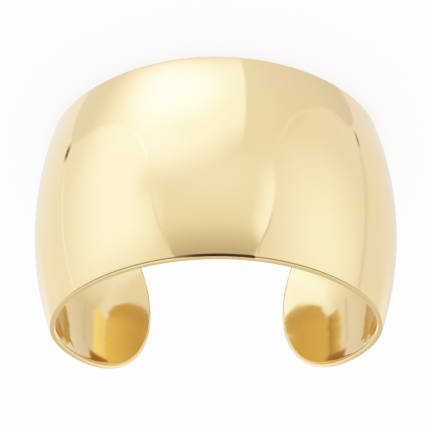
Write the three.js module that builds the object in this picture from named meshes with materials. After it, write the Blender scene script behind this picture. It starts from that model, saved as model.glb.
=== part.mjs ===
// A plain wide cuff bracelet: one sheet of gold-coloured metal, bent round the wrist and open underneath.
//
// The band is worked out in the wearer's frame, in millimetres: x runs across the wrist, y rises from the
// open side to the crown, and z runs along the wrist. It is then laid on its side, so that one rim rests
// flat on z = 0, the crown faces -Y and the gap between the two tips faces +Y.

import * as THREE from 'three';

// Driving dimensions, in millimetres and degrees.
const ACROSS_HARMONICS = [35, 5, 0.9]; // oval seen along the wrist: x = 35 sin t + 5 sin 2t + 0.9 sin 3t
const RISE_HARMONICS = [25.7, 2.2, 1.7]; // the same oval: y = 25.7 cos t + 2.2 cos 2t + 1.7 cos 3t
const TIP_ANGLE = 151.2; // oval angle t from the crown to the end of each tip
const CROWN_HALF_WIDTH = 27.2; // from the middle of the band to a rim, at the crown
const RIM_TAPER = 0.07; // half-width lost for each millimetre below the crown
const DOME_RADIUS = 100; // the band is gently domed between its two rims
const WALL = 1.3; // thickness of the metal
const FLAT_DEPTH = 0.14; // what is ground off the round rims, which leaves a flat 0.8 wide
const STRAIGHT_SHARE = 0.6; // share of the way from crown to tip that has straight rims
const TIP_POWER = 3; // how suddenly the rims turn in to the round tips

// Mesh fineness.
const LENGTH_STEPS = 92; // stations from tip to tip
const WIDTH_STEPS = 12; // strips from rim to rim
const ROUND_STEPS = 8; // facets round the half circle of a rim
const LAST_STATION = 0.985; // of 1: leaves a tip with a straight end under 3 mm long
const ARC_DIVISIONS = 3000;

// Worked out from the above.
const RIM_RADIUS = WALL / 2;
const TIP_ANGLE_RADIANS = THREE.MathUtils.degToRad(TIP_ANGLE);
const WRIST_AXIS = new THREE.Vector3(0, 0, 1);
const CROWN_RISE = RISE_HARMONICS.reduce((sum, term) => sum + term, 0);
const CROWN_EDGE_RISE = CROWN_RISE - domeDrop(CROWN_HALF_WIDTH);

const GOLD = new THREE.MeshStandardMaterial({ color: 0xf0d28c, metalness: 1, roughness: 0.12 });

/** The ridge line of the band: the outside of its middle section, from tip to tip over the crown. */
class RidgeOval extends THREE.Curve {
  constructor() {
    super();
    this.arcLengthDivisions = ARC_DIVISIONS;
  }

  getPoint(share, target = new THREE.Vector3()) {
    const t = TIP_ANGLE_RADIANS * (2 * share - 1);
    const x = ACROSS_HARMONICS.reduce((sum, term, index) => sum + term * Math.sin((index + 1) * t), 0);
    const y = RISE_HARMONICS.reduce((sum, term, index) => sum + term * Math.cos((index + 1) * t), 0);
    return target.set(x, y, 0);
  }
}

/** How far the dome falls below the ridge at a distance from the middle of the band. */
function domeDrop(distance) {
  return DOME_RADIUS - Math.sqrt(DOME_RADIUS ** 2 - distance ** 2);
}

/** Distance from the middle of the band to the flat of a rim, at a height y: both flats are planes. */
function rimPlane(rise) {
  return CROWN_HALF_WIDTH - RIM_TAPER * (CROWN_EDGE_RISE - rise);
}

/** Half-width of the metal's middle layer at a station, before the tips turn in. */
function straightHalfWidth(ridge, outward) {
  let half = CROWN_HALF_WIDTH;
  for (let round = 0; round < 4; round += 1) {
    const rise = ridge.y - outward.y * (domeDrop(half) + RIM_RADIUS);
    half = (rimPlane(rise) + FLAT_DEPTH - RIM_RADIUS) / (1 - RIM_RADIUS / DOME_RADIUS);
  }
  return half;
}

/** Share of the half-width that is left at a station: 1 over the straight rims, 0 at the end of a tip. */
function tipShare(station, halfLength) {
  const straightLength = STRAIGHT_SHARE * halfLength;
  const along = Math.abs(station) * halfLength;
  const turn = Math.max(0, (along - straightLength) / (halfLength - RIM_RADIUS - straightLength));
  return Math.sqrt(Math.max(0, 1 - turn ** TIP_POWER));
}

/** The cross-section frame at a station, from -1 at one tip to 1 at the other. */
function stationFrame(oval, station) {
  const share = (station + 1) / 2;
  const ridge = oval.getPointAt(share);
  const along = oval.getTangentAt(share);
  const outward = new THREE.Vector3().crossVectors(WRIST_AXIS, along);
  return { ridge, along, outward };
}

function outlineHalfWidth(oval, station) {
  const { ridge, outward } = stationFrame(oval, station);
  return straightHalfWidth(ridge, outward) * tipShare(station, oval.getLength() / 2);
}

/** The middle layer of the metal at a distance from the ridge, with its normal and its way to the rim. */
function middleLayer(frame, distance) {
  const lean = distance / DOME_RADIUS;
  const upright = Math.sqrt(1 - lean ** 2);
  const normal = frame.outward.clone().multiplyScalar(upright).addScaledVector(WRIST_AXIS, lean);
  const aside = WRIST_AXIS.clone().multiplyScalar(upright).addScaledVector(frame.outward, -lean);
  const point = frame.ridge.clone()
    .addScaledVector(WRIST_AXIS, distance)
    .addScaledVector(frame.outward, -domeDrop(distance))
    .addScaledVector(normal, -RIM_RADIUS);
  return { point, normal, aside, along: frame.along };
}

/** Grinds the round rims down to their flats. */
function grindFlat(point) {
  const limit = rimPlane(point.y);
  return point.setZ(THREE.MathUtils.clamp(point.z, -limit, limit));
}

/** Stations from tip to tip, closer together where the rims turn in. */
function stationList(oval) {
  const reach = 1 - RIM_RADIUS / (oval.getLength() / 2);
  return Array.from({ length: LENGTH_STEPS + 1 }, (_, index) => (
    reach * Math.sin((Math.PI / 2) * LAST_STATION * ((2 * index) / LENGTH_STEPS - 1))
  ));
}

/** A grid of middle-layer points: one row for each station, from the lower rim to the upper rim. */
function layerGrid(oval, stations) {
  return stations.map((station) => {
    const frame = stationFrame(oval, station);
    const half = outlineHalfWidth(oval, station);
    return Array.from({ length: WIDTH_STEPS + 1 }, (_, column) => (
      middleLayer(frame, half * ((2 * column) / WIDTH_STEPS - 1))
    ));
  });
}

/** The way out of the outline at a rim, in the sheet: square to the rim, and along it at the tips. */
function outwardInSheet(oval, station, layer, side) {
  const step = 1e-4;
  const slope = (outlineHalfWidth(oval, station + step) - outlineHalfWidth(oval, station - step))
    / (step * oval.getLength());
  return layer.aside.clone().multiplyScalar(side).addScaledVector(layer.along, -slope).normalize();
}

/** The outline of the grid as one loop: row, column and the way out of the sheet at each point. */
function outlineLoop(oval, stations, grid) {
  const lastRow = grid.length - 1;
  const rimPoint = (row, column, side) => ({
    row, column, way: outwardInSheet(oval, stations[row], grid[row][column], side),
  });
  const tipPoint = (row, column, side) => ({
    row, column, way: grid[row][column].along.clone().multiplyScalar(side),
  });
  const rows = Array.from(grid.keys());
  const columns = Array.from({ length: WIDTH_STEPS - 1 }, (_, index) => index + 1);
  return [
    ...rows.map((row) => rimPoint(row, 0, -1)),
    ...columns.map((column) => tipPoint(lastRow, column, 1)),
    ...rows.toReversed().map((row) => rimPoint(row, WIDTH_STEPS, 1)),
    ...columns.toReversed().map((column) => tipPoint(0, column, -1)),
  ];
}

/** Two triangles for each cell of a grid of vertex indices. */
function gridTriangles(indexGrid, flipped) {
  const triangles = [];
  for (let row = 0; row + 1 < indexGrid.length; row += 1) {
    for (let column = 0; column + 1 < indexGrid[row].length; column += 1) {
      const a = indexGrid[row][column];
      const b = indexGrid[row][column + 1];
      const c = indexGrid[row + 1][column + 1];
      const d = indexGrid[row + 1][column];
      triangles.push(...(flipped ? [a, d, b, b, d, c] : [a, b, d, b, c, d]));
    }
  }
  return triangles;
}

/** The closed band: an outer sheet, an inner sheet, and a round rim that joins them all the way round. */
function bandGeometry() {
  const oval = new RidgeOval();
  const stations = stationList(oval);
  const grid = layerGrid(oval, stations);
  const positions = [];
  const addVertex = (point) => positions.push(...grindFlat(point).toArray()) / 3 - 1;
  const sheet = (side) => grid.map((row) => row.map(({ point, normal }) => (
    addVertex(point.clone().addScaledVector(normal, side * RIM_RADIUS))
  )));

  const outer = sheet(1);
  const inner = sheet(-1);
  const loop = outlineLoop(oval, stations, grid);
  const rings = loop.map(({ row, column, way }) => {
    const { point, normal } = grid[row][column];
    const between = Array.from({ length: ROUND_STEPS - 1 }, (_, index) => {
      const turn = (Math.PI * (index + 1)) / ROUND_STEPS;
      return addVertex(point.clone()
        .addScaledVector(normal, RIM_RADIUS * Math.cos(turn))
        .addScaledVector(way, RIM_RADIUS * Math.sin(turn)));
    });
    return [outer[row][column], ...between, inner[row][column]];
  });

  const geometry = new THREE.BufferGeometry();
  geometry.setAttribute('position', new THREE.Float32BufferAttribute(positions, 3));
  geometry.setIndex([
    ...gridTriangles(outer, false),
    ...gridTriangles(inner, true),
    ...gridTriangles([...rings, rings[0]], true),
  ]);
  return geometry;
}

/** Lays the band on its side: the lower rim's plane becomes z = 0 and the box is centred on the origin. */
function layOnSide(geometry) {
  const tilt = Math.atan(RIM_TAPER);
  geometry.applyMatrix4(new THREE.Matrix4().makeRotationFromEuler(new THREE.Euler(-tilt, 0, Math.PI)));
  geometry.computeBoundingBox();
  const centre = geometry.boundingBox.getCenter(new THREE.Vector3());
  geometry.translate(-centre.x, -centre.y, -geometry.boundingBox.min.z);
  geometry.computeVertexNormals();
  return geometry;
}

const bracelet = new THREE.Group();
const cuffBand = new THREE.Mesh(layOnSide(bandGeometry()), GOLD);
cuffBand.name = 'cuff_band';
bracelet.add(cuffBand);

export default bracelet;
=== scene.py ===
"""A wide open cuff bracelet of polished gold-coloured metal, lying on its side on a pale floor."""

import logging
import math
from dataclasses import dataclass, field
from enum import Enum
from typing import ClassVar

import bpy
import numpy as np
from mathutils import Matrix, Vector


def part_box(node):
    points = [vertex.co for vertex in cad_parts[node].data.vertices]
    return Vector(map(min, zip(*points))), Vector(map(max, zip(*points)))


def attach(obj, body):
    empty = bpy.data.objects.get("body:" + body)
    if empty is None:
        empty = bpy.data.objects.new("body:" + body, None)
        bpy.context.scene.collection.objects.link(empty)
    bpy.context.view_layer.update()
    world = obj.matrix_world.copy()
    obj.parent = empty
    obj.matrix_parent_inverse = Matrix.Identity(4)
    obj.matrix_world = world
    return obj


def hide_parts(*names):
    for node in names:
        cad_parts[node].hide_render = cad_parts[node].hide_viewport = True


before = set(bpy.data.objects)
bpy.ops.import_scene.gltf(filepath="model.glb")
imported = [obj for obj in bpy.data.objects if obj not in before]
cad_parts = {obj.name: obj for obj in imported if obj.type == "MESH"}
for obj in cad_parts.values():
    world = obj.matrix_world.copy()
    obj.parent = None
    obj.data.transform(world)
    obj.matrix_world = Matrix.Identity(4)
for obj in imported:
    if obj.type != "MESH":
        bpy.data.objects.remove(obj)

LOG = logging.getLogger("cuff")
MILLIMETRE = 0.001
BAND_NODE = "cuff_band"
GOLD_SLOT = "polished_gold"

Colour = tuple[float, float, float]
Fades = tuple[float, float, float, float]
Pair = tuple[float, float]
Bearings = tuple[Pair, ...]
Fed = bpy.types.NodeSocket | float | tuple[float, ...]

# Sockets of a colour Mix node and a Map Range node, which only their numbers tell apart, and the
# display curve that holds for all three colours.
MIX_FIRST, MIX_SECOND, MIX_RESULT = 6, 7, 2
RANGE_LIMITS = (1, 2, 3, 4)
COMBINED_CURVE = 3

WHITE: Colour = (1.0, 1.0, 1.0)
# The gold and deep gold cards glow in the metal's own colour: a painted reflection of the band's gold
# inside the tips, and in the deep one a painted shade there.
GOLD_REFLECTION_CARD: Colour = (1.0, 0.65, 0.21)
DEEP_GOLD_REFLECTION_CARD: Colour = (1.0, 0.5, 0.1)
TAN_CARD: Colour = (1.0, 0.8, 0.5)
TABLE_CARD: Colour = (1.0, 0.98, 0.93)
# The warm cards in the hollow glow in the metal's colour: a painted reflection of the band's own gold,
# deep in the hollow.
WARM_REFLECTION_CARD: Colour = (1.0, 0.66, 0.3)


class Sheet(Enum):
    """The two faces of the metal sheet."""

    OUTER = 1
    INNER = -1


class Cover(Enum):
    """How a studio card meets what is behind it: it hides it, or adds its light to it."""

    HIDES = "hides"
    ADDS = "adds"


# ---- Meshes from numpy grids ----


def grid_quads(indices: np.ndarray, flipped: bool = False) -> np.ndarray:
    """Quads over a grid of vertex numbers: each joins a vertex to its right, diagonal and lower one.

    Args:
        indices: vertex numbers, rows by columns.
        flipped: turns the faces round.

    Returns:
        One row of four vertex numbers for each cell.
    """
    a, b = indices[:-1, :-1], indices[:-1, 1:]
    c, d = indices[1:, 1:], indices[1:, :-1]
    order = (a, d, c, b) if flipped else (a, b, c, d)
    return np.stack(order, axis=-1).reshape(-1, 4)


def mesh_object(name: str, points: np.ndarray, quads: np.ndarray, uv: np.ndarray) -> bpy.types.Object:
    """Makes a smooth mesh object at the origin from arrays.

    Args:
        name: the object's name.
        points: vertex positions in metres, one row each.
        quads: four vertex numbers for each face.
        uv: a UV pair for each vertex.

    Returns:
        The new object, linked to the scene.
    """
    mesh = bpy.data.meshes.new(name)
    mesh.from_pydata(points.tolist(), [], quads.tolist())
    corners = np.empty(len(mesh.loops), np.int32)
    mesh.loops.foreach_get("vertex_index", corners)
    layer = mesh.uv_layers.new(name="surface")
    layer.data.foreach_set("uv", uv[corners].astype(np.float32).ravel())
    mesh.polygons.foreach_set("use_smooth", np.ones(len(mesh.polygons), bool))
    mesh.update()
    piece = bpy.data.objects.new(name, mesh)
    bpy.context.scene.collection.objects.link(piece)
    return piece


def grid_object(
    name: str, points: np.ndarray, uv: np.ndarray, flipped: bool = False
) -> bpy.types.Object:
    """Makes a mesh object from a grid of points and a grid of UV pairs.

    Args:
        name: the object's name.
        points: positions in metres on the last axis.
        uv: UV pairs on the last axis.
        flipped: turns the faces round.

    Returns:
        The new object, linked to the scene.
    """
    rows, columns = points.shape[:2]
    index = np.arange(rows * columns).reshape(rows, columns)
    return mesh_object(name, points.reshape(-1, 3), grid_quads(index, flipped), uv.reshape(-1, 2))


def direction(azimuth: np.ndarray | float, elevation: np.ndarray | float) -> np.ndarray:
    """Unit vector for a bearing in degrees: azimuth 0 is -Y and 90 is +X, elevation 90 is up.

    Args:
        azimuth: one number or an array.
        elevation: one number or an array of the same shape.

    Returns:
        One vector, or an array with the vectors on its last axis.
    """
    a, e = np.radians(azimuth), np.radians(elevation)
    return np.stack([np.sin(a) * np.cos(e), -np.cos(a) * np.cos(e), np.sin(e) + 0 * a], axis=-1)


# ---- Finishes ----


class NodeBoard:
    """A short way to place and wire shader nodes."""

    def __init__(self, tree: bpy.types.NodeTree) -> None:
        """Starts on a cleared node tree."""
        self.tree = tree
        tree.nodes.clear()

    def add(self, kind: str, settings: dict | None = None, **sockets: Fed) -> bpy.types.Node:
        """Adds a node.

        Args:
            kind: the node's type name.
            settings: properties of the node.
            **sockets: input values or links by socket name, with underscores for spaces.

        Returns:
            The new node.
        """
        node = self.tree.nodes.new(kind)
        for key, value in (settings or {}).items():
            setattr(node, key, value)
        for key, value in sockets.items():
            self.feed(node.inputs[key.replace("_", " ")], value)
        return node

    def feed(self, socket: bpy.types.NodeSocket, value: Fed) -> None:
        """Links a socket to another node's output, or sets its value.

        Args:
            socket: an input of a node.
            value: the output that it is linked to, or its value.
        """
        if isinstance(value, bpy.types.NodeSocket):
            self.tree.links.new(value, socket)
        else:
            socket.default_value = value

    def math(self, operation: str, *values: Fed) -> bpy.types.NodeSocket:
        """Adds a math node.

        Args:
            operation: what it does, by its name in the node.
            *values: its inputs in order.

        Returns:
            Its output.
        """
        node = self.tree.nodes.new("ShaderNodeMath")
        node.operation = operation
        for socket, value in zip(node.inputs, values):
            self.feed(socket, value)
        return node.outputs[0]

    def ramp(self, value: Fed, start: Pair, end: Pair = (0.0, 1.0)) -> bpy.types.NodeSocket:
        """Carries a value smoothly from one range to another.

        Args:
            value: what is carried.
            start: the values at which the ramp begins and ends.
            end: what they become.

        Returns:
            The output, which stays at its end values outside the ramp.
        """
        node = self.add("ShaderNodeMapRange", {"interpolation_type": "SMOOTHSTEP"}, Value=value)
        for index, number in zip(RANGE_LIMITS, (*start, *end)):
            node.inputs[index].default_value = number
        return node.outputs[0]


def blank_material(name: str) -> tuple[bpy.types.Material, NodeBoard]:
    """Starts a material that has no nodes yet.

    Args:
        name: the material's name.

    Returns:
        The material, and the board that fills it.
    """
    material = bpy.data.materials.new(name)
    material.use_nodes = True
    return material, NodeBoard(material.node_tree)


@dataclass(frozen=True)
class PolishedGold:
    """Mirror-polished pale gold plate, with the soft haze and hairlines that a polishing wheel leaves.

    Scales are waves per metre. The haze comes in clouds, and hairlines run along the band.
    """

    base: Colour = (1.0, 0.655, 0.28)
    warm: Colour = (1.0, 0.64, 0.265)
    warm_range: Pair = (0.35, 0.7)
    roughness: float = 0.05
    haze: float = 0.03
    haze_range: Pair = (0.3, 0.75)
    cloud_scale: float = 70.0
    cloud_detail: float = 3.0
    hair_scale: tuple[float, float, float] = (260.0, 9000.0, 1.0)
    hair_detail: float = 2.0
    hair_range: Pair = (0.62, 0.78)
    hair_strength: float = 0.02
    hair_height: float = 0.00002

    def material(self) -> bpy.types.Material:
        """Builds the node material.

        Returns:
            The material.
        """
        material, board = blank_material(GOLD_SLOT)
        place = board.add("ShaderNodeTexCoord")
        cloud = board.add(
            "ShaderNodeTexNoise",
            Vector=place.outputs["Object"],
            Scale=self.cloud_scale,
            Detail=self.cloud_detail,
        ).outputs[0]
        plate = board.add("ShaderNodeMix", {"data_type": "RGBA"})
        board.feed(plate.inputs["Factor"], board.ramp(cloud, self.warm_range))
        board.feed(plate.inputs[MIX_FIRST], (*self.base, 1.0))
        board.feed(plate.inputs[MIX_SECOND], (*self.warm, 1.0))
        stretch = board.add("ShaderNodeMapping", Vector=place.outputs["UV"], Scale=self.hair_scale)
        hairs = board.add(
            "ShaderNodeTexNoise", Vector=stretch.outputs[0], Scale=1.0, Detail=self.hair_detail
        )
        hair_mask = board.ramp(hairs.outputs[0], self.hair_range)
        haze = board.ramp(cloud, self.haze_range, (self.roughness, self.roughness + self.haze))
        rough = board.math("ADD", haze, board.math("MULTIPLY", hair_mask, self.haze))
        bump = board.add(
            "ShaderNodeBump",
            Height=hair_mask,
            Strength=self.hair_strength,
            Distance=self.hair_height,
        )
        shader = board.add(
            "ShaderNodeBsdfPrincipled",
            Base_Color=plate.outputs[MIX_RESULT],
            Metallic=1.0,
            Roughness=rough,
            Normal=bump.outputs[0],
        )
        board.add("ShaderNodeOutputMaterial", Surface=shader.outputs[0])
        return material


@dataclass(frozen=True)
class MattePaper:
    """A plain matte surface for the floor."""

    colour: Colour = (0.9, 0.9, 0.895)

    def material(self) -> bpy.types.Material:
        """Builds the node material.

        Returns:
            The material.
        """
        material, board = blank_material("pale_floor")
        shader = board.add("ShaderNodeBsdfDiffuse", Color=(*self.colour, 1.0))
        board.add("ShaderNodeOutputMaterial", Surface=shader.outputs[0])
        return material


@dataclass(frozen=True)
class Glow:
    """The light of a studio card: it may change from one side to the other, and it fades at its edges.

    A fade is a share of the card's size: from its left, right, bottom and top edge.
    """

    level: float
    far_level: float | None = None
    tone: Colour = WHITE
    fade: Fades = (0.3, 0.3, 0.3, 0.3)
    cover: Cover = Cover.HIDES

    def material(self, name: str) -> bpy.types.Material:
        """Builds the node material: a product of smooth ramps, one in from each edge of the UV square.

        Args:
            name: the material's name.

        Returns:
            A material that glows where the product is 1 and is clear where it is 0.
        """
        material, board = blank_material(name)
        place = board.add("ShaderNodeTexCoord")
        split = board.add("ShaderNodeSeparateXYZ", Vector=place.outputs["UV"])
        across, up = split.outputs[0], split.outputs[1]
        left, right, bottom, top = self.fade
        ramps = (
            (across, (0.0, left)),
            (across, (1.0, 1.0 - right)),
            (up, (0.0, bottom)),
            (up, (1.0, 1.0 - top)),
        )
        mask = 1.0
        for value, (edge, inner) in ramps:
            if inner != edge:
                mask = board.math("MULTIPLY", mask, board.ramp(value, (edge, inner)))
        level = self.level
        if self.far_level is not None:
            level = board.ramp(across, (0.0, 1.0), (self.level, self.far_level))
        clear = board.add("ShaderNodeBsdfTransparent")
        if self.cover is Cover.HIDES:
            glow = board.add("ShaderNodeEmission", Color=(*self.tone, 1.0), Strength=level)
            joined = board.add("ShaderNodeMixShader", Fac=mask)
            first = 1
        else:
            strength = board.math("MULTIPLY", mask, level)
            glow = board.add("ShaderNodeEmission", Color=(*self.tone, 1.0), Strength=strength)
            joined = board.add("ShaderNodeAddShader")
            first = 0
        board.feed(joined.inputs[first], clear.outputs[0])
        board.feed(joined.inputs[first + 1], glow.outputs[0])
        board.add("ShaderNodeOutputMaterial", Surface=joined.outputs[0])
        return material


def soft_glow(level: float, ends: float = 0.5) -> Glow:
    """A light that is added to what is behind it, and that fades from its middle to its sides."""
    return Glow(level, fade=(0.5, 0.5, ends, ends), cover=Cover.ADDS)


# ---- The cuff ----


@dataclass
class CuffBand:
    """The one piece of the bracelet: a domed sheet bent round the wrist, with round rims and tips.

    Lengths are in millimetres in the wearer's frame: x across the wrist, y towards the crown, and z
    along it. Stations are lengths along the ridge line, from the crown.
    """

    # How finely the ridge is measured, the rounds that settle a rim, the step for its slope in
    # millimetres, and where the inner sheet's UVs start, in half-widths of the crown.
    RIDGE_POINTS: ClassVar[int] = 12001
    RIM_ROUNDS: ClassVar[int] = 4
    SLOPE_STEP: ClassVar[float] = 1e-3
    INNER_UV_OFFSET: ClassVar[float] = 2.5

    across: tuple[float, ...] = (35.0, 5.0, 0.9)
    rise: tuple[float, ...] = (25.7, 2.2, 1.7)
    tip_angle: float = 151.2
    crown_half_width: float = 27.2
    rim_taper: float = 0.07
    dome_radius: float = 100.0
    wall: float = 1.3
    flat_depth: float = 0.14
    straight_share: float = 0.6
    tip_power: float = 3.0
    last_station: float = 0.992
    length_steps: int = 320
    width_steps: int = 96
    round_steps: int = 24
    ripple: float = 0.0016
    ripple_margin: float = 2.0
    ripple_waves: tuple[tuple[float, float, float], ...] = (
        (1.7, 0.6, 0.9),
        (-0.8, 1.3, 2.1),
        (0.5, -2.1, 4.0),
    )
    finish: PolishedGold = field(default_factory=PolishedGold)

    def __post_init__(self) -> None:
        """Measures the ridge line, so that a place on it can be given by its length."""
        angle = np.linspace(-1, 1, self.RIDGE_POINTS) * math.radians(self.tip_angle)
        x, y = self.oval(angle)
        self.rim_radius = self.wall / 2
        walked = np.concatenate([[0.0], np.cumsum(np.hypot(np.diff(x), np.diff(y)))])
        self.half_length = walked[-1] / 2
        self.arc_angles = angle
        self.arc_lengths = walked - self.half_length
        self.crown_edge_rise = sum(self.rise) - self.dome_drop(self.crown_half_width)

    def oval(self, angle: np.ndarray) -> tuple[np.ndarray, np.ndarray]:
        """The ridge line: x is a sum of sines of 1, 2 and 3 times the angle, and y of cosines.

        Args:
            angle: angles from the crown, in radians.

        Returns:
            The x and the y of each.
        """
        order = np.arange(1, len(self.across) + 1)[:, None]
        x = (np.array(self.across)[:, None] * np.sin(order * angle)).sum(0)
        y = (np.array(self.rise)[:, None] * np.cos(order * angle)).sum(0)
        return x, y

    def dome_drop(self, distance: np.ndarray | float) -> np.ndarray | float:
        """How far the dome falls below the ridge: the sagitta of a circle of the dome's radius."""
        return self.dome_radius - np.sqrt(self.dome_radius**2 - np.square(distance))

    def rim_plane(self, rise: np.ndarray) -> np.ndarray:
        """Distance from the band's middle to a rim's flat, which falls evenly below the crown."""
        return self.crown_half_width - self.rim_taper * (self.crown_edge_rise - rise)

    def ridge_frame(self, length: np.ndarray) -> tuple[np.ndarray, np.ndarray, np.ndarray]:
        """The ridge line and its directions at lengths from the crown.

        Args:
            length: signed lengths along the ridge, in millimetres.

        Returns:
            Points, unit ways along the ridge, and unit ways out of the wrist, one row each.
        """
        angle = np.interp(length, self.arc_lengths, self.arc_angles)
        order = np.arange(1, len(self.across) + 1)[:, None]
        x, y = self.oval(angle)
        slope_x = (np.array(self.across)[:, None] * order * np.cos(order * angle)).sum(0)
        slope_y = -(np.array(self.rise)[:, None] * order * np.sin(order * angle)).sum(0)
        speed = np.hypot(slope_x, slope_y)
        flat = np.zeros_like(x)
        ridge = np.stack([x, y, flat], axis=-1)
        along = np.stack([slope_x / speed, slope_y / speed, flat], axis=-1)
        outward = np.stack([-along[:, 1], along[:, 0], flat], axis=-1)
        return ridge, along, outward

    def half_width(self, length: np.ndarray) -> np.ndarray:
        """Half-width of the metal's middle layer: up to the rim planes, then turned in at the tips.

        The half-width and the rise of its edge depend on each other, so a few rounds settle them. The
        turn is the square root of one minus a power of the share of the tip's length.

        Args:
            length: the stations.

        Returns:
            One half-width for each.
        """
        ridge, _, outward = self.ridge_frame(length)
        half = np.full(len(length), self.crown_half_width)
        for _ in range(self.RIM_ROUNDS):
            rise = ridge[:, 1] - outward[:, 1] * (self.dome_drop(half) + self.rim_radius)
            half = self.rim_plane(rise) + self.flat_depth - self.rim_radius
            half = half / (1 - self.rim_radius / self.dome_radius)
        straight = self.straight_share * self.half_length
        tip = self.half_length - self.rim_radius - straight
        turn = np.clip((np.abs(length) - straight) / tip, 0, 1)
        return half * np.sqrt(1 - turn**self.tip_power)

    def stations(self) -> np.ndarray:
        """Lengths from the crown of the cross-sections, closer together where the rims turn in."""
        share = np.linspace(-1, 1, self.length_steps + 1) * self.last_station
        return np.sin(share * math.pi / 2) * (self.half_length - self.rim_radius)

    def middle_layer(self, length: np.ndarray) -> dict[str, np.ndarray]:
        """The layer halfway through the wall, as a grid of stations by places from rim to rim.

        A point is the ridge point, moved sideways along the wrist, dropped by the dome, and moved in
        from the outer face by half the wall along the surface's normal.

        Args:
            length: the stations.

        Returns:
            Arrays for the points, normals, ways aside, ways along, and distances from the ridge.
        """
        ridge, along, outward = (part[:, None, :] for part in self.ridge_frame(length))
        place = np.linspace(-1, 1, self.width_steps + 1)
        distance = (self.half_width(length)[:, None] * place)[..., None]
        wrist = np.array([0.0, 0.0, 1.0])
        lean = distance / self.dome_radius
        upright = np.sqrt(1 - lean**2)
        normal = outward * upright + wrist * lean
        aside = wrist * upright - outward * lean
        point = ridge + wrist * distance - outward * self.dome_drop(distance)
        point = point - normal * self.rim_radius
        return {
            "point": point,
            "normal": normal,
            "aside": aside,
            "along": np.broadcast_to(along, point.shape),
            "distance": distance[..., 0],
        }

    def ways_out(self, length: np.ndarray, layer: dict[str, np.ndarray]) -> np.ndarray:
        """The way out of the sheet at each grid point, for use on its outline.

        At a rim it is square to the outline's slope; at a tip it runs along the band.

        Args:
            length: the stations.
            layer: the middle layer at those stations.

        Returns:
            A grid of unit vectors.
        """
        step = self.SLOPE_STEP
        slope = (self.half_width(length + step) - self.half_width(length - step)) / (2 * step)
        side = np.where(np.linspace(-1, 1, self.width_steps + 1) < 0, -1, 1)[None, :, None]
        out = layer["aside"] * side - layer["along"] * slope[:, None, None]
        out = out / np.linalg.norm(out, axis=-1, keepdims=True)
        out[0, 1:-1] = -layer["along"][0, 1:-1]
        out[-1, 1:-1] = layer["along"][-1, 1:-1]
        return out

    def polish_ripple(self, points: np.ndarray) -> np.ndarray:
        """The faint unevenness that hand polishing leaves: the mean of three crossed waves.

        Args:
            points: points of the middle layer.

        Returns:
            How far the surface stands out at each, in millimetres.
        """
        total = np.zeros(points.shape[:-1])
        for across, along_wrist, start in self.ripple_waves:
            total += np.sin(across * points[..., 0] + along_wrist * points[..., 2] + start)
        return self.ripple * total / len(self.ripple_waves)

    def outline(self) -> tuple[np.ndarray, np.ndarray]:
        """The grid's outline as one loop: a rim, a tip, the other rim and the other tip.

        Returns:
            The rows and the columns of its points.
        """
        last_row, last_column = self.length_steps, self.width_steps
        rows, columns = np.arange(last_row + 1), np.arange(1, last_column)
        row = np.concatenate(
            [rows, np.full(len(columns), last_row), rows[::-1], np.zeros(len(columns), int)]
        )
        column = np.concatenate(
            [np.zeros(len(rows), int), columns, np.full(len(rows), last_column), columns[::-1]]
        )
        return row, column

    def turned_on_side(self, points: np.ndarray) -> np.ndarray:
        """Turns wearer's-frame points by the angle of the rim taper, so that the lower rim is level.

        Args:
            points: x, y and z in millimetres on the last axis.

        Returns:
            The same points turned, in metres.
        """
        x, y, z = np.moveaxis(points, -1, 0)
        size = math.hypot(1.0, self.rim_taper)
        turned = [-x, (-y + self.rim_taper * z) / size, (self.rim_taper * y + z) / size]
        return np.stack(turned, axis=-1) * MILLIMETRE

    def place_in_frame(self, turned: np.ndarray) -> np.ndarray:
        """Moves turned points so that their lowest corner and middle meet the CAD node's box.

        Args:
            turned: points in metres, turned on their side.

        Returns:
            The points in the shared frame.
        """
        low, high = (np.array(corner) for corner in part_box(BAND_NODE))
        self.shift = (low + high) / 2 - (turned.min(0) + turned.max(0)) / 2
        self.shift[2] = low[2] - turned[:, 2].min()
        return turned + self.shift

    def round_upper_rim(
        self, span: Pair, turns: Pair, reach: float, grid: tuple[int, int]
    ) -> np.ndarray:
        """A surface bent round the upper rim, a little off it: known once the band itself is placed.

        Args:
            span: the stations of its two ends, in millimetres.
            turns: where it starts and ends round the rim, in degrees from square to the outer face.
            reach: its distance from the middle of the metal, in millimetres.
            grid: how many points there are along it and across it.

        Returns:
            A grid of points in metres in the shared frame.
        """
        longest = self.half_length - self.rim_radius
        first, last = np.arcsin(np.array(span) / longest)
        length = np.sin(np.linspace(first, last, grid[0])) * longest
        layer = self.middle_layer(length)
        ways = self.ways_out(length, layer)
        point, normal, way = (part[:, -1:] for part in (layer["point"], layer["normal"], ways))
        turn = np.radians(np.linspace(*turns, grid[1]))[None, :, None]
        bent = point + reach * (normal * np.cos(turn) + way * np.sin(turn))
        return self.turned_on_side(bent) + self.shift

    def rim_round(
        self, layer: dict[str, np.ndarray], ways: np.ndarray, turns: np.ndarray
    ) -> np.ndarray:
        """The half-round rim that joins the two sheets all the way round.

        A rim point is the outline point plus the rim radius times (cosine of the turn along the normal,
        plus sine of the turn along the way out).

        Args:
            layer: the middle layer.
            ways: the way out of the sheet at each grid point.
            turns: angles from the outer sheet's normal, in radians.

        Returns:
            A grid of points: the outline by the turns.
        """
        outline = self.outline()
        edge, normal, way = (
            part[outline][:, None, :] for part in (layer["point"], layer["normal"], ways)
        )
        cosine, sine = np.cos(turns)[None, :, None], np.sin(turns)[None, :, None]
        return edge + self.rim_radius * (normal * cosine + way * sine)

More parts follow.
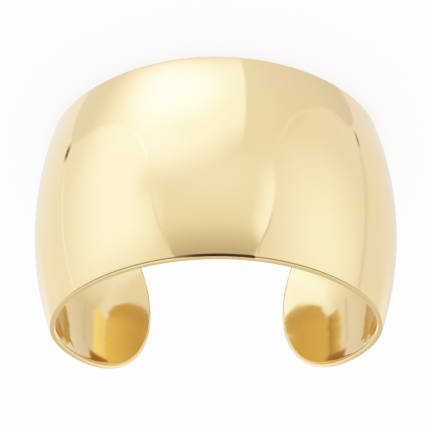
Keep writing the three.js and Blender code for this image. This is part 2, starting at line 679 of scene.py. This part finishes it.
    def faces(self, sheet_shape: tuple[int, int], ring_shape: tuple[int, int]) -> np.ndarray:
        """The faces of the closed surface, on the points of the outer sheet, the inner one and the rim.

        Args:
            sheet_shape: rows and columns of a sheet.
            ring_shape: outline points and turns of the rim.

        Returns:
            One row of four vertex numbers for each face.
        """
        outline = self.outline()
        outer = np.arange(math.prod(sheet_shape)).reshape(sheet_shape)
        inner = outer + outer.size
        ring = np.arange(math.prod(ring_shape)).reshape(ring_shape) + 2 * outer.size
        strip = np.concatenate([outer[outline][:, None], ring, inner[outline][:, None]], axis=1)
        strip = np.concatenate([strip, strip[:1]])
        return np.concatenate([grid_quads(outer), grid_quads(inner, True), grid_quads(strip, True)])

    def surface_uv(self, length: np.ndarray, distance: np.ndarray, turns: np.ndarray) -> np.ndarray:
        """UV pairs that follow the metal: a length along the band, and a length across it.

        Args:
            length: the stations.
            distance: distances from the ridge, on the middle layer's grid.
            turns: the rim's angles, in radians.

        Returns:
            A pair in metres for each point of the outer sheet, the inner one and the rim.
        """
        rows, columns = self.outline()
        stations = np.broadcast_to(length[:, None], distance.shape)
        outer_uv = np.stack([stations.ravel(), distance.ravel()], axis=-1)
        inner_uv = outer_uv + [0.0, self.INNER_UV_OFFSET * self.crown_half_width]
        reach = distance[rows, columns][:, None]
        ring_v = reach + np.sign(reach) * self.rim_radius * turns[None, :]
        ring_u = np.broadcast_to(length[rows][:, None], ring_v.shape)
        ring_uv = np.stack([ring_u.ravel(), ring_v.ravel()], axis=-1)
        return np.concatenate([outer_uv, inner_uv, ring_uv]) * MILLIMETRE

    def arrays(self) -> tuple[np.ndarray, np.ndarray, np.ndarray]:
        """Works the closed surface out: an outer sheet, an inner sheet and the half-round rim.

        Each sheet is the middle layer moved half the wall along its normal. The inner one has the polish
        ripple, which ends near the rims. All of it is then cut back to the planes of the two flats.

        Returns:
            Points in metres, quads, and UV pairs in metres: along the band, and across it.
        """
        length = self.stations()
        layer = self.middle_layer(length)
        point, normal, distance = layer["point"], layer["normal"], layer["distance"]
        sheets = {sheet: point + normal * (self.rim_radius * sheet.value) for sheet in Sheet}
        to_rim = self.half_width(length)[:, None] - np.abs(distance)
        ripple = self.polish_ripple(point) * np.clip(to_rim / self.ripple_margin, 0, 1)
        sheets[Sheet.INNER] = sheets[Sheet.INNER] + normal * ripple[..., None]
        turns = np.pi * np.arange(1, self.round_steps) / self.round_steps
        ring = self.rim_round(layer, self.ways_out(length, layer), turns)
        parts = (sheets[Sheet.OUTER], sheets[Sheet.INNER], ring)
        points = np.concatenate([part.reshape(-1, 3) for part in parts])
        limit = self.rim_plane(points[:, 1])
        points[:, 2] = np.clip(points[:, 2], -limit, limit)
        quads = self.faces(distance.shape, ring.shape[:2])
        uv = self.surface_uv(length, distance, turns)
        return self.place_in_frame(self.turned_on_side(points)), quads, uv

    def build(self) -> bpy.types.Object:
        """Makes the piece, dresses it and sets it in the place of the CAD node.

        Returns:
            The finished piece.
        """
        points, quads, uv = self.arrays()
        band = mesh_object("cuff_band_polished", points, quads, uv)
        band.data.materials.append(self.finish.material())
        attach(band, "root")
        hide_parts(BAND_NODE)
        LOG.info("cuff band: %d points, %d faces", len(points), len(quads))
        return band


# ---- The studio ----


def only_in_reflections(piece: bpy.types.Object) -> None:
    """Lets a studio card be seen in polished metal and nowhere else."""
    for ray in ("camera", "diffuse", "transmission", "volume_scatter", "shadow"):
        setattr(piece, f"visible_{ray}", False)


def band_middle() -> np.ndarray:
    """The middle of the band's box, in metres."""
    low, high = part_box(BAND_NODE)
    return np.array((low + high) / 2)


@dataclass(frozen=True)
class StudioPiece:
    """A piece of the light tent that only polished metal shows."""

    GRID: ClassVar[tuple[int, int]] = (25, 25)

    name: str
    glow: Glow

    def surface(self) -> tuple[np.ndarray, np.ndarray]:
        """The piece's surface.

        Returns:
            A grid of points in metres, and the grid of UV pairs, from 0 to 1 each way.
        """
        raise NotImplementedError

    def middle(self) -> np.ndarray:
        """The point that bearings are taken from: the middle of the lying band."""
        return band_middle()

    def build(self) -> bpy.types.Object:
        """Makes the piece and its glow.

        Returns:
            The finished piece.
        """
        points, uv = self.surface()
        piece = grid_object(self.name, points + self.middle(), uv)
        piece.data.materials.append(self.glow.material(self.name))
        only_in_reflections(piece)
        return piece


@dataclass(frozen=True)
class FramePiece(StudioPiece):
    """A studio piece close to the cuff, whose points are given in the shared frame itself."""

    def middle(self) -> np.ndarray:
        """The frame's origin."""
        return np.zeros(3)


def smooth_path(stops: Bearings, share: np.ndarray) -> np.ndarray:
    """Carries pairs of numbers smoothly from stop to stop.

    A cubic joins each two stops. Its slope at a stop is half the way between the stop's neighbours.

    Args:
        stops: two or more pairs.
        share: places along the path, from 0 to 1.

    Returns:
        One pair for each place.
    """
    listed = np.array(stops, float)
    slope = np.gradient(listed, axis=0)
    place = share * (len(listed) - 1)
    first = np.minimum(place.astype(int), len(listed) - 2)
    t = (place - first)[:, None]
    start, end = listed[first], listed[first + 1]
    start_slope, end_slope = slope[first], slope[first + 1]
    return (
        start * (2 * t**3 - 3 * t**2 + 1)
        + end * (3 * t**2 - 2 * t**3)
        + start_slope * (t**3 - 2 * t**2 + t)
        + end_slope * (t**3 - t**2)
    )


def unit_grid(columns: int, rows: int) -> np.ndarray:
    """Pairs from 0 to 1 on a grid."""
    across, up = np.linspace(0, 1, columns), np.linspace(0, 1, rows)
    return np.stack(np.meshgrid(across, up, indexing="ij"), axis=-1)


@dataclass(frozen=True)
class Card(StudioPiece):
    """A curved card faced at the cuff, by bearing and apparent size in degrees: a softbox or a flag."""

    azimuth: float = 0.0
    elevation: float = 0.0
    width: float = 20.0
    height: float = 20.0
    distance: float = 2.0

    def surface(self) -> tuple[np.ndarray, np.ndarray]:
        """A rectangle square to its bearing, bent round the cuff.

        Its half sizes are the tangents of its half angles.

        Returns:
            Points and UV pairs, as for every studio piece.
        """
        uv = unit_grid(*self.GRID)
        centre = direction(self.azimuth, self.elevation)
        aside = direction(self.azimuth + 90.0, 0.0)
        upward = np.cross(aside, -centre)
        reach = np.tan(np.radians([self.width / 2, self.height / 2]))
        place = (2 * uv - 1) * reach
        flat = centre + place[..., :1] * aside + place[..., 1:] * upward
        return flat / np.linalg.norm(flat, axis=-1, keepdims=True) * self.distance, uv


@dataclass(frozen=True)
class Panel(StudioPiece):
    """A cloth panel stretched between a lower and an upper edge, each a path of bearings in degrees."""

    GRID: ClassVar[tuple[int, int]] = (49, 25)

    lower: Bearings = ()
    upper: Bearings = ()
    distance: float = 2.0

    def surface(self) -> tuple[np.ndarray, np.ndarray]:
        """A ruled sheet: bearings go evenly from the lower edge to the upper one, at one distance.

        Returns:
            Points and UV pairs, as for every studio piece.
        """
        uv = unit_grid(*self.GRID)
        share = uv[:, 0, 0]
        low, high = (smooth_path(edge, share)[:, None] for edge in (self.lower, self.upper))
        bearing = low + (high - low) * uv[..., 1:]
        return direction(bearing[..., 0], bearing[..., 1]) * self.distance, uv


@dataclass(frozen=True)
class Seam(StudioPiece):
    """A narrow strip along a path of bearings in degrees: a seam, a pole or a fold of the cloth."""

    GRID: ClassVar[tuple[int, int]] = (65, 2)

    path: Bearings = ()
    width: float = 1.5
    distance: float = 1.9

    def surface(self) -> tuple[np.ndarray, np.ndarray]:
        """A ribbon: the path's points, moved square to it by half the width each way.

        Returns:
            Points and UV pairs, as for every studio piece.
        """
        uv = unit_grid(*self.GRID)
        bearing = smooth_path(self.path, uv[:, 0, 0])
        line = direction(bearing[:, 0], bearing[:, 1])
        across = np.cross(line, np.gradient(line, axis=0))
        across /= np.linalg.norm(across, axis=-1, keepdims=True)
        half = math.tan(math.radians(self.width / 2))
        place = (2 * uv[..., 1:] - 1) * half
        return (line[:, None] + across[:, None] * place) * self.distance, uv


@dataclass(frozen=True)
class TableCard(FramePiece):
    """A small level glowing card at the open side of the lying cuff, which the inside of a tip shows: a
    gold one is a painted reflection of the band's own gold.

    Its left and right edges are paths of x and y in millimetres, each from its near end, at the gap,
    to its far end.
    """

    GRID: ClassVar[tuple[int, int]] = (9, 33)

    left: Bearings = ()
    right: Bearings = ()
    height: float = -0.5

    def surface(self) -> tuple[np.ndarray, np.ndarray]:
        """A level patch: its points go evenly from the left edge to the right one.

        Returns:
            Points and UV pairs, as for every studio piece.
        """
        uv = unit_grid(*self.GRID)
        across = uv[..., :1]
        left, right = (smooth_path(edge, uv[0, :, 1]) for edge in (self.left, self.right))
        flat = left + (right - left) * across
        points = np.concatenate([flat, np.full_like(across, self.height)], axis=-1)
        return points * MILLIMETRE, uv


@dataclass(frozen=True)
class HollowCard(FramePiece):
    """An upright card in the wrist hollow, which ends the reflections that would run on along the wall.

    Its two sides are given in plan, by x and y in millimetres, and it stands from its foot to its top.
    """

    GRID: ClassVar[tuple[int, int]] = (5, 5)

    wall_side: Pair = (0.0, 0.0)
    free_side: Pair = (0.0, 0.0)
    foot: float = 8.0
    top: float = 46.0

    def surface(self) -> tuple[np.ndarray, np.ndarray]:
        """A flat upright sheet: across it, points go evenly from the wall's side to the free side.

        Returns:
            Points and UV pairs, as for every studio piece.
        """
        uv = unit_grid(*self.GRID)
        near, far = np.array(self.wall_side), np.array(self.free_side)
        plan = near + (far - near) * uv[..., :1]
        height = self.foot + (self.top - self.foot) * uv[..., 1:]
        return np.concatenate([plan, height], axis=-1) * MILLIMETRE, uv


@dataclass(frozen=True)
class RimCard(FramePiece):
    """A narrow card bent round the upper rim, a few millimetres off it, which darkens the rim."""

    GRID: ClassVar[tuple[int, int]] = (129, 17)

    band: CuffBand | None = None
    span: Pair = (-10.0, 10.0)
    turns: Pair = (-24.0, 24.0)
    reach: float = 3.0

    def surface(self) -> tuple[np.ndarray, np.ndarray]:
        """A strip along the rim: across it, it is an arc about the middle of the metal."""
        uv = unit_grid(*self.GRID)
        return self.band.round_upper_rim(self.span, self.turns, self.reach, self.GRID), uv


@dataclass
class LightTent:
    """The white tent round the cuff, with its softboxes, flags, seams and small reflectors."""

    GRID: ClassVar[tuple[int, int]] = (65, 33)

    radius: float = 2.4
    level: float = 1.75
    pieces: tuple[StudioPiece, ...] = ()

    def build_tent(self) -> bpy.types.Object:
        """Makes the tent: a sphere from azimuth and elevation, in one even glow.

        Returns:
            The tent.
        """
        uv = unit_grid(*self.GRID)
        bearings = direction(uv[..., 0] * 360 - 180, uv[..., 1] * 180 - 90)
        tent = grid_object("light_tent", bearings * self.radius + band_middle(), uv, flipped=True)
        material, board = blank_material("light_tent")
        glow = board.add("ShaderNodeEmission", Strength=self.level)
        board.add("ShaderNodeOutputMaterial", Surface=glow.outputs[0])
        tent.data.materials.append(material)
        only_in_reflections(tent)
        return tent

    def build(self) -> None:
        """Makes the tent and everything in it."""
        self.build_tent()
        for piece in self.pieces:
            piece.build()
        LOG.info("light tent: %d pieces", len(self.pieces))


@dataclass
class PaleFloor:
    """The floor and the even light of the room above it."""

    half_size: float = 30.0
    room_level: float = 6.5
    finish: MattePaper = field(default_factory=MattePaper)

    def build(self) -> None:
        """Makes the floor, which polished metal doesn't mirror, and the room's light."""
        corners = np.array([(-1, -1), (1, -1), (1, 1), (-1, 1)], float)
        points = np.concatenate([corners * self.half_size, np.zeros((4, 1))], axis=1)
        floor = mesh_object("floor", points, np.array([[0, 1, 2, 3]]), (corners + 1) / 2)
        floor.data.materials.append(self.finish.material())
        floor.visible_glossy = False
        world = bpy.data.worlds.new("room")
        world.use_nodes = True
        board = NodeBoard(world.node_tree)
        light = board.add("ShaderNodeBackground", Strength=self.room_level)
        board.add("ShaderNodeOutputWorld", Surface=light.outputs[0])
        bpy.context.scene.world = world
        LOG.info("floor: %.0f m across", 2 * self.half_size)


@dataclass(frozen=True)
class FilmResponse:
    """The response of film: on each colour, what shows is 1 - exp(-light)."""

    white: float = 8.0
    lights: tuple[float, ...] = (0.1, 0.25, 0.5, 0.8, 1.2, 1.7, 2.3, 3.0, 4.0, 5.5)

    def apply(self) -> None:
        """Sets the response as the display curve."""
        view = bpy.context.scene.view_settings
        view.view_transform = "Standard"
        view.look = "None"
        view.use_curve_mapping = True
        mapping = view.curve_mapping
        mapping.white_level = (self.white,) * 3
        curve = mapping.curves[COMBINED_CURVE]
        curve.points[0].location = (0.0, 0.0)
        curve.points[-1].location = (1.0, 1.0 - math.exp(-self.white))
        for light in self.lights:
            curve.points.new(light / self.white, 1.0 - math.exp(-light))
        mapping.update()


@dataclass(frozen=True)
class ViewingCamera:
    """The camera: it looks down on the crown and through the open side, with the crown at the top.

    The aim is a little off the box's middle, aside and in depth, and lies at a share of its height.
    """

    azimuth: float = -0.25
    elevation: float = 47.81
    distance: float = 1.0
    lens: float = 423.5
    sensor: float = 36.0
    view_limit: float = 200.0
    aim_aside: float = 0.00014
    aim_depth: float = -0.00016
    aim_height_share: float = 0.389
    roll: float = 179.8

    def build(self) -> bpy.types.Object:
        """Places the camera at a distance from its aim, square to its bearing, and rolls it.

        Returns:
            The camera, set as the scene's own.
        """
        low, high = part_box(BAND_NODE)
        height = low.z + (high.z - low.z) * self.aim_height_share
        middle = (low + high) / 2
        aim = Vector((middle.x + self.aim_aside, middle.y + self.aim_depth, height))
        back = Vector(direction(self.azimuth, self.elevation))
        data = bpy.data.cameras.new("camera")
        data.lens = self.lens
        data.sensor_width = self.sensor
        data.clip_end = self.view_limit
        camera = bpy.data.objects.new("camera", data)
        bpy.context.scene.collection.objects.link(camera)
        facing = back.to_track_quat("Z", "Y").to_matrix().to_4x4()
        spin = Matrix.Rotation(math.radians(self.roll), 4, "Z")
        camera.matrix_world = Matrix.Translation(aim + back * self.distance) @ facing @ spin
        bpy.context.scene.camera = camera
        return camera


def main_softboxes() -> tuple[StudioPiece, ...]:
    """The tent's large parts: its walls, its ground cloths, and the softboxes behind the cloth.

    In the tent, left is the -X side and right is the +X side.

    Returns:
        The cards and seams, in the order in which they are built.
    """
    return (
        Panel(
            "right_wall",
            Glow(2.05, fade=(0.35, 0.3, 0.0, 0.35)),
            lower=((70, -80), (178, -80)),
            upper=((70, 50), (178, 50)),
            distance=2.35,
        ),
        Panel(
            "left_ground",
            Glow(1.2, 1.6, fade=(0.15, 0.2, 0.0, 0.03)),
            lower=((-118, -66), (-90, -80), (-50, -80), (-15, -78)),
            upper=((-112, -61), (-90, -54.5), (-60, -56), (-28, -38.5)),
            distance=2.3,
        ),
        Panel(
            "right_ground",
            Glow(1.55, fade=(0.2, 0.2, 0.0, 0.03)),
            lower=((30, -80), (70, -80), (110, -78), (120, -70)),
            upper=((33, -39), (55, -51.5), (93, -52), (114, -63)),
            distance=2.3,
        ),
        Panel(
            "key_softbox",
            Glow(3.1, 4.6, fade=(0.03, 0.45, 0.26, 0.32)),
            lower=((-24, -76), (85, -76)),
            upper=((-13, -38), (5, -29), (30, -27), (85, -28)),
            distance=2.2,
        ),
        Card("key_lamp", soft_glow(3.0), 23, -59, width=40, height=30, distance=2.15),
        Card("window_right_glow", soft_glow(0.75, 0.4), 30, -21, width=16, height=24, distance=2.07),
        Card("window_glow", soft_glow(0.3), 0, -30, width=60, height=26, distance=2.08),
        Panel(
            "side_softbox",
            Glow(3.6, fade=(0.25, 0.6, 0.02, 0.52)),
            lower=((33, -39), (45, -48), (62, -53), (93, -52)),
            upper=((22, -2), (100, -2)),
            distance=2.1,
        ),
        Card("fill_softbox", soft_glow(1.15), -53, -19, width=64, height=64, distance=2.1),
    )


def window_and_seams() -> tuple[StudioPiece, ...]:
    """The shaded window in front of the cuff, and the tent's seams, poles and dark joints.

    Returns:
        The cards and seams, in the order in which they are built.
    """
    key_edge = Glow(5.5, fade=(0.4, 0.4, 0.3, 0.3))
    left_post = Glow(1.4, fade=(0.1, 0.1, 0.5, 0.5))
    right_post = Glow(2.7, fade=(0.1, 0.1, 0.4, 0.4))
    left_joint = Glow(0.15, fade=(0.4, 0.4, 0.3, 0.3))
    right_joint = Glow(0.02, fade=(0.5, 0.35, 0.2, 0.2))
    return (
        Panel(
            "window_shade",
            Glow(0.8, fade=(0.4, 0.45, 0.02, 0.02)),
            lower=((-25, -20), (-20.5, -12), (-17, -4), (-17, 15), (-17, 46)),
            upper=((27, -20), (22.5, -12), (19, -4), (19, 15), (19, 46)),
            distance=2.05,
        ),
        Seam(
            "window_left_fold",
            Glow(3.0, fade=(0.25, 0.35, 0.05, 0.95)),
            path=((-15.2, -12.5), (-19.3, -18.5), (-21.3, -23.5), (-22.3, -29.3), (-21, -37)),
            width=9,
        ),
        Seam(
            "window_left_pole",
            Glow(1.1, fade=(0.3, 0.1, 0.3, 0.3)),
            path=((-27, -24), (-24.6, -17.8), (-22, -13.9), (-20.3, -11), (-19.5, -8)),
            width=1.1,
            distance=1.88,
        ),
        Seam(
            "window_right_pole",
            Glow(1.35, fade=(0.4, 0.1, 0.3, 0.3)),
            path=((30.5, -33), (28.5, -24.1), (26.2, -18.3), (23.7, -13.9), (21.8, -10)),
            width=0.8,
        ),
        Seam("key_edge", key_edge, path=((31.5, -34), (34, -40), (39, -45), (47, -49)), width=1.0),
        Seam(
            "left_arc",
            Glow(1.95, fade=(0.1, 0.3, 0.3, 0.3)),
            path=((-89.8, -54.5), (-73, -57), (-52.4, -54.3), (-40, -49.9), (-28.7, -39.7), (-26, -33)),
            width=1.0,
        ),
        Seam("left_post", left_post, path=((-82, -16), (-85, -34), (-92, -51)), width=5),
        Seam("right_post", right_post, path=((80, -16), (85, -27), (93, -47)), width=1.4),
        Seam(
            "left_joint",
            left_joint,
            path=((-94.9, -55.2), (-93.4, -52.6), (-91.4, -49.9)),
            width=1.9,
            distance=1.85,
        ),
        Seam(
            "right_joint",
            right_joint,
            path=((96.6, -53.2), (96.4, -50.9), (97, -48.3)),
            width=3.4,
            distance=1.85,
        ),
    )


def rim_cards(band: CuffBand) -> tuple[StudioPiece, ...]:
    """The narrow dark cards close to the upper rim. The tips' cards are named by the camera's sides.

    Args:
        band: the placed band.

    Returns:
        The cards and seams, in the order in which they are built.
    """
    shade = Glow(0.45, fade=(0.3, 0.3, 0.1, 0.3))
    crown_line = Glow(0.05, fade=(0.4, 0.03, 0.05, 0.2))
    line = Glow(0.4, fade=(0.4, 0.4, 0.3, 0.2))
    inner_line = Glow(0.5, fade=(0.3, 0.3, 0.4, 0.3))
    line_turns, inner_turns = (-50, 10), (155, 200)
    reach = 2.7
    return (
        RimCard("rim_shade", shade, band, span=(-52, 52), turns=(-24, 26)),
        RimCard("crown_line", crown_line, band, span=(-11.5, 8.9), turns=(-27, 60), reach=reach),
        RimCard("left_tip_line", line, band, (-46, -74), line_turns, reach),
        RimCard("right_tip_line", line, band, (46, 74), line_turns, reach),
        RimCard("left_tip_inner_line", inner_line, band, (-52, -74), inner_turns, reach),
        RimCard("right_tip_inner_line", inner_line, band, (52, 74), inner_turns, reach),
    )


def upper_lights() -> tuple[StudioPiece, ...]:
    """The quiet upper half of the tent: a shaded back, an overhead softbox and two tall ones behind.

    Returns:
        The cards and seams, in the order in which they are built.
    """
    shade = Glow(1.15, fade=(0.4, 0.4, 0.3, 0.3))
    return (
        Card("back_shade", shade, 180, 30, width=130, height=75, distance=2.3),
        Card("overhead_softbox", soft_glow(1.6), 20, 62, width=90, height=60, distance=2.2),
        Card("back_left_softbox", soft_glow(1.8, 0.4), 138, -5, width=34, height=80, distance=2.2),
        Card("back_right_softbox", soft_glow(1.5, 0.4), -132, -2, width=40, height=80, distance=2.2),
    )


def hollow_cards() -> tuple[StudioPiece, ...]:
    """The upright cards in the hollow, off the inside of the crown and the sides.

    Their warm glow is a painted reflection of the band's own gold, which keeps the deepest reflections
    warm. Left and right are the camera's sides.

    Returns:
        The cards and seams, in the order in which they are built.
    """
    # A painted reflection of the band's gold, seen deep in the hollow.
    glow = Glow(1.3, 1.7, WARM_REFLECTION_CARD, fade=(0.0, 0.3, 0.0, 0.0))
    sides = {
        "middle_hollow_card": ((0, -20.6), (0, -11)),
        "left_hollow_card": ((23.3, -12.4), (17, -6)),
        "right_hollow_card": ((-23.3, -12.4), (-17, -6)),
        "left_side_hollow_card": ((31.5, -1), (25, -1)),
        "right_side_hollow_card": ((-31.5, -1), (-25, -1)),
    }
    return tuple(HollowCard(name, glow, *ends) for name, ends in sides.items())


def mirrored(edge: Bearings) -> Bearings:
    """The same edge on the other side of the cuff's middle plane."""
    return tuple((-x, y) for x, y in edge)


def table_cards() -> tuple[StudioPiece, ...]:
    """The small cards at the open side: white ones, and gold ones whose glow is a painted reflection of
    the band's own gold inside the tips.

    Left and right are the camera's sides: each card is named by the tip that mirrors it.

    Returns:
        The cards and seams, in the order in which they are built.
    """
    # The gold glows paint the band's own gold reflected inside the tips; the shadow glow paints the
    # darker shade there.
    left_wide = Glow(1.45, 0.76, GOLD_REFLECTION_CARD, fade=(0.04, 0.0, 0.0, 0.03))
    right_wide = Glow(1.16, 0.9, GOLD_REFLECTION_CARD, fade=(0.04, 0.0, 0.0, 0.03))
    left_hem = Glow(0.86, 0.72, GOLD_REFLECTION_CARD, fade=(0.05, 0.0, 0.7, 0.1))
    right_hem = Glow(0.95, 0.8, GOLD_REFLECTION_CARD, fade=(0.05, 0.0, 0.7, 0.1))
    shadow = Glow(0.36, tone=DEEP_GOLD_REFLECTION_CARD, fade=(0.0, 0.1, 0.0, 0.1))
    left_slit = ((9.3, 27.2), (8, 25.1), (7, 22.6), (6.8, 20.7), (7, 19.1), (7.5, 18), (8.4, 16.8))
    right_slit = ((9.5, 28), (8, 25.1), (7.2, 22.9), (7.1, 20.6), (7.4, 19), (8, 17.9), (8.7, 16.8))
    slit_end = ((11.5, 27.4), (12, 26), (12, 24.2), (11.8, 22.5), (11.2, 20.8), (10.4, 19), (9.2, 17))
    left_gold = ((10.6, 27.4), (10.3, 25.6), (9.7, 23.8), (9.4, 22), (9.1, 20.2), (9, 18.5), (9.1, 17))
    right_gold = ((10.6, 27.4), (10.2, 25.6), (9.5, 24), (9.2, 22.4), (8.9, 20.6), (8.9, 18.8), (9, 17))
    return (
        TableCard(
            "table_white",
            Glow(1.6, 1.1, TABLE_CARD, fade=(0.05, 0.05, 0.05, 0.2)),
            left=((6, 32), (5, 9)),
            right=((-6, 32), (-5, 9)),
            height=-0.7,
        ),
        TableCard(
            "left_upper_shade",
            Glow(1.55, tone=TABLE_CARD, fade=(0.4, 0.0, 0.0, 0.3)),
            left=((-5, 11.4), (-3.6, 7.6)),
            right=((-11, 7.4), (-7.5, 2.5)),
            height=-0.65,
        ),
        TableCard(
            "right_upper_glow",
            soft_glow(0.9),
            left=((8, 12.4), (7.6, 6)),
            right=((2.2, 12.8), (3.2, 7)),
            height=-0.62,
        ),
        TableCard(
            "left_gold_wide",
            left_wide,
            left=((-6, 24), (-6, 11.1)),
            right=((-14, 20), (-10.4, 6.6)),
        ),
        TableCard(
            "left_gold_hem",
            left_hem,
            left=((-6, 13.6), (-6, 11.2)),
            right=((-11.6, 9.6), (-10.4, 6.6)),
            height=-0.45,
        ),
        TableCard(
            "right_gold_hem",
            right_hem,
            left=((6, 14), (6, 11.6)),
            right=((11.6, 10.4), (10.4, 7.4)),
            height=-0.45,
        ),
        TableCard(
            "left_gold_narrow",
            Glow(2.6, 2.0, GOLD_REFLECTION_CARD, fade=(0.04, 0.05, 0.0, 0.02)),
            left=((-2.2, 24.5), (-2.8, 22), (-4, 18.6), (-4.2, 15.8), (-3.95, 13.3), (-4.1, 12.3)),
            right=((-6.2, 24.5), (-6.1, 21), (-6, 18.5), (-6, 16), (-5.9, 14), (-5.9, 12.9)),
            height=-0.4,
        ),
        TableCard(
            "right_gold_wide",
            right_wide,
            left=((6, 24), (6, 11.5)),
            right=((14, 20), (10.4, 7.4)),
        ),
        TableCard(
            "right_gold_narrow",
            Glow(1.2, 0.5, GOLD_REFLECTION_CARD, fade=(0.04, 0.04, 0.0, 0.02)),
            left=((2.2, 24.5), (2.8, 21.9), (3.8, 19.4), (3.9, 16.7), (3.9, 14.2), (3.95, 13)),
            right=((5.8, 24.5), (5.9, 21), (6.1, 18.3), (6.2, 16.4), (6.1, 14.1), (5.9, 12.9)),
            height=-0.4,
        ),
        TableCard(
            "left_gold_shadow",
            shadow,
            left=((-2.2, 27), (-2.8, 20)),
            right=((-6.9, 26), (-6.4, 18.7)),
            height=-0.3,
        ),
        TableCard(
            "right_gold_shadow",
            shadow,
            left=((2, 27), (2.3, 20.9)),
            right=((7, 26), (6.4, 18.8)),
            height=-0.3,
        ),
        TableCard(
            "left_slit",
            Glow(0.84, tone=TAN_CARD, fade=(0.03, 0.0, 0.0, 0.0)),
            left=left_slit,
            right=slit_end,
            height=8,
        ),
        TableCard(
            "left_slit_gold",
            Glow(0.72, tone=GOLD_REFLECTION_CARD, fade=(0.1, 0.25, 0.0, 0.0)),
            left=left_slit,
            right=left_gold,
            height=8.05,
        ),
        TableCard(
            "right_slit",
            Glow(0.88, tone=TAN_CARD, fade=(0.03, 0.0, 0.0, 0.0)),
            left=mirrored(right_slit),
            right=mirrored(slit_end),
            height=8,
        ),
        TableCard(
            "right_slit_gold",
            Glow(0.85, tone=GOLD_REFLECTION_CARD, fade=(0.1, 0.25, 0.0, 0.0)),
            left=mirrored(right_slit),
            right=mirrored(right_gold),
            height=8.05,
        ),
        TableCard(
            "left_table_seam",
            Glow(0.85, tone=TABLE_CARD, fade=(0.4, 0.4, 0.1, 0.2)),
            left=((-2.3, 20.6), (-2.65, 15.6), (-2.15, 12)),
            right=((-1.7, 20.6), (-2.1, 15.6), (-1.7, 12)),
            height=-0.35,
        ),
        TableCard(
            "right_table_seam",
            Glow(0.65, tone=TABLE_CARD, fade=(0.4, 0.4, 0.1, 0.2)),
            left=((2.45, 20.8), (3, 15.9), (2.25, 12)),
            right=((2.05, 20.8), (2.6, 15.9), (1.9, 12)),
            height=-0.35,
        ),
    )


def studio(band: CuffBand) -> LightTent:
    """The tent with all that is in it.

    Args:
        band: the placed band, whose rim some of the cards follow.

    Returns:
        The tent, not yet built.
    """
    groups = (
        main_softboxes(),
        window_and_seams(),
        rim_cards(band),
        upper_lights(),
        table_cards(),
        hollow_cards(),
    )
    return LightTent(pieces=tuple(piece for group in groups for piece in group))


def main() -> None:
    """Builds the cuff, then the studio and the camera, in order."""
    logging.basicConfig(level=logging.INFO, format="%(name)s: %(message)s")
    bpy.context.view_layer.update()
    band = CuffBand()
    band.build()
    PaleFloor().build()
    studio(band).build()
    FilmResponse().apply()
    ViewingCamera().build()


if __name__ == "__main__":
    main()
